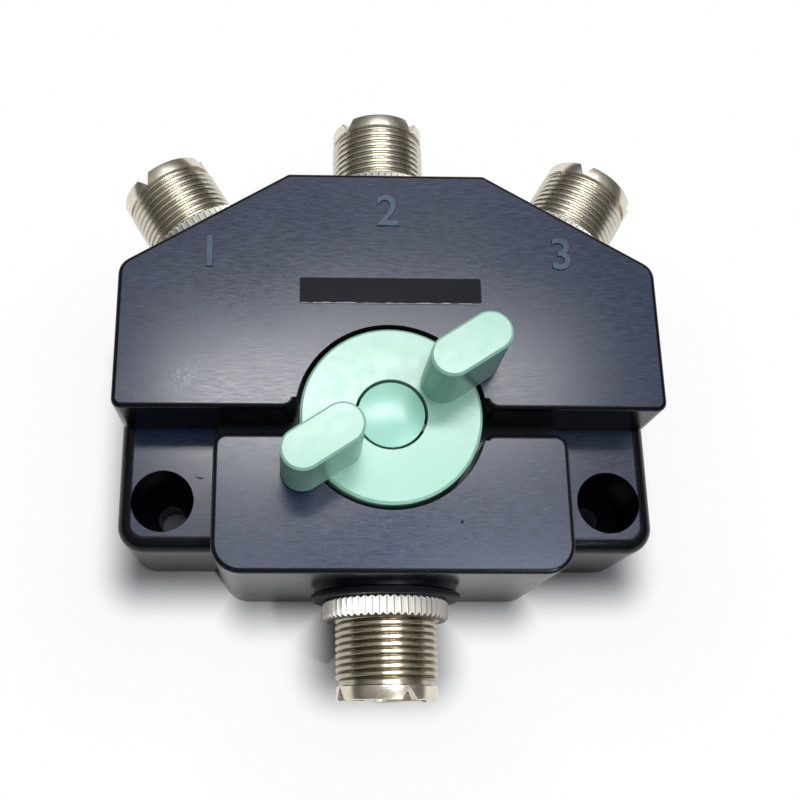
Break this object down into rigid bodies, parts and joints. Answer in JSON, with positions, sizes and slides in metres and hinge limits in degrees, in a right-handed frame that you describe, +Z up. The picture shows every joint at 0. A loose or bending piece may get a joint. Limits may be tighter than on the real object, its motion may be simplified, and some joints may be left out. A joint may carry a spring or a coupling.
{
  "type": "coaxial antenna switch",
  "caption": "Cast coaxial antenna switch: a winged rotary knob connects the front UHF socket to one of the sockets at the rear.",
  "frame": {"origin": "on the mounting face, under the knob's axis", "axes": "+Z up along the knob's axis, +Y to the rear (the line sockets), +X to the right seen from the front"},
  "size_m": [0.0886, 0.0984, 0.0446],
  "materials": {
    "housing_paint": "gloss black, machined tops",
    "cover_plate": "satin black",
    "label_plate": "dark anodised",
    "knob_plastic": "satin mint green",
    "cap_plastic": "satin mint green",
    "steel": "zinc plated",
    "brass": "turned",
    "insulation": "matt white",
    "nickel": "nickel plated",
    "seal_rubber": "matt black",
    "contact_silver": "silver plated",
    "spring_bronze": "plain spring bronze"
  },
  "bodies": {
    "switch_body": {"bottom_cover": "cover_plate", "common_centre_contact": "contact_silver", "common_contact_strip": "spring_bronze", "common_seal_washer": "seal_rubber", "common_socket_insulator": "insulation", "common_socket_shell": "nickel", "cover_screws": "steel", "housing": "housing_paint", "label_plate": "label_plate", "line_1_centre_contact": "contact_silver", "line_1_contact_strip": "spring_bronze", "line_1_seal_washer": "seal_rubber", "line_1_socket_insulator": "insulation", "line_1_socket_shell": "nickel", "line_2_centre_contact": "contact_silver", "line_2_contact_strip": "spring_bronze", "line_2_seal_washer": "seal_rubber", "line_2_socket_insulator": "insulation", "line_2_socket_shell": "nickel", "line_3_centre_contact": "contact_silver", "line_3_contact_strip": "spring_bronze", "line_3_seal_washer": "seal_rubber", "line_3_socket_insulator": "insulation", "line_3_socket_shell": "nickel", "shaft_bush": "brass"},
    "knob_body": {"knob": "knob_plastic", "knob_cap": "cap_plastic", "knob_screw": "steel", "rotor_shaft": "steel", "thrust_washer": "brass", "retaining_clip": "steel", "detent_balls": "steel", "detent_springs": "steel", "rotor_hub": "insulation", "rotor_blade": "spring_bronze", "rotor_rivets": "brass"}
  },
  "joints": [
    {"name": "knob_turn", "type": "hinge", "parent": "switch_body", "child": "knob_body", "pos_m": [0, 0, 0.0208], "axis": [0, 0, 1], "range_deg": [0, 114]}
  ]
}
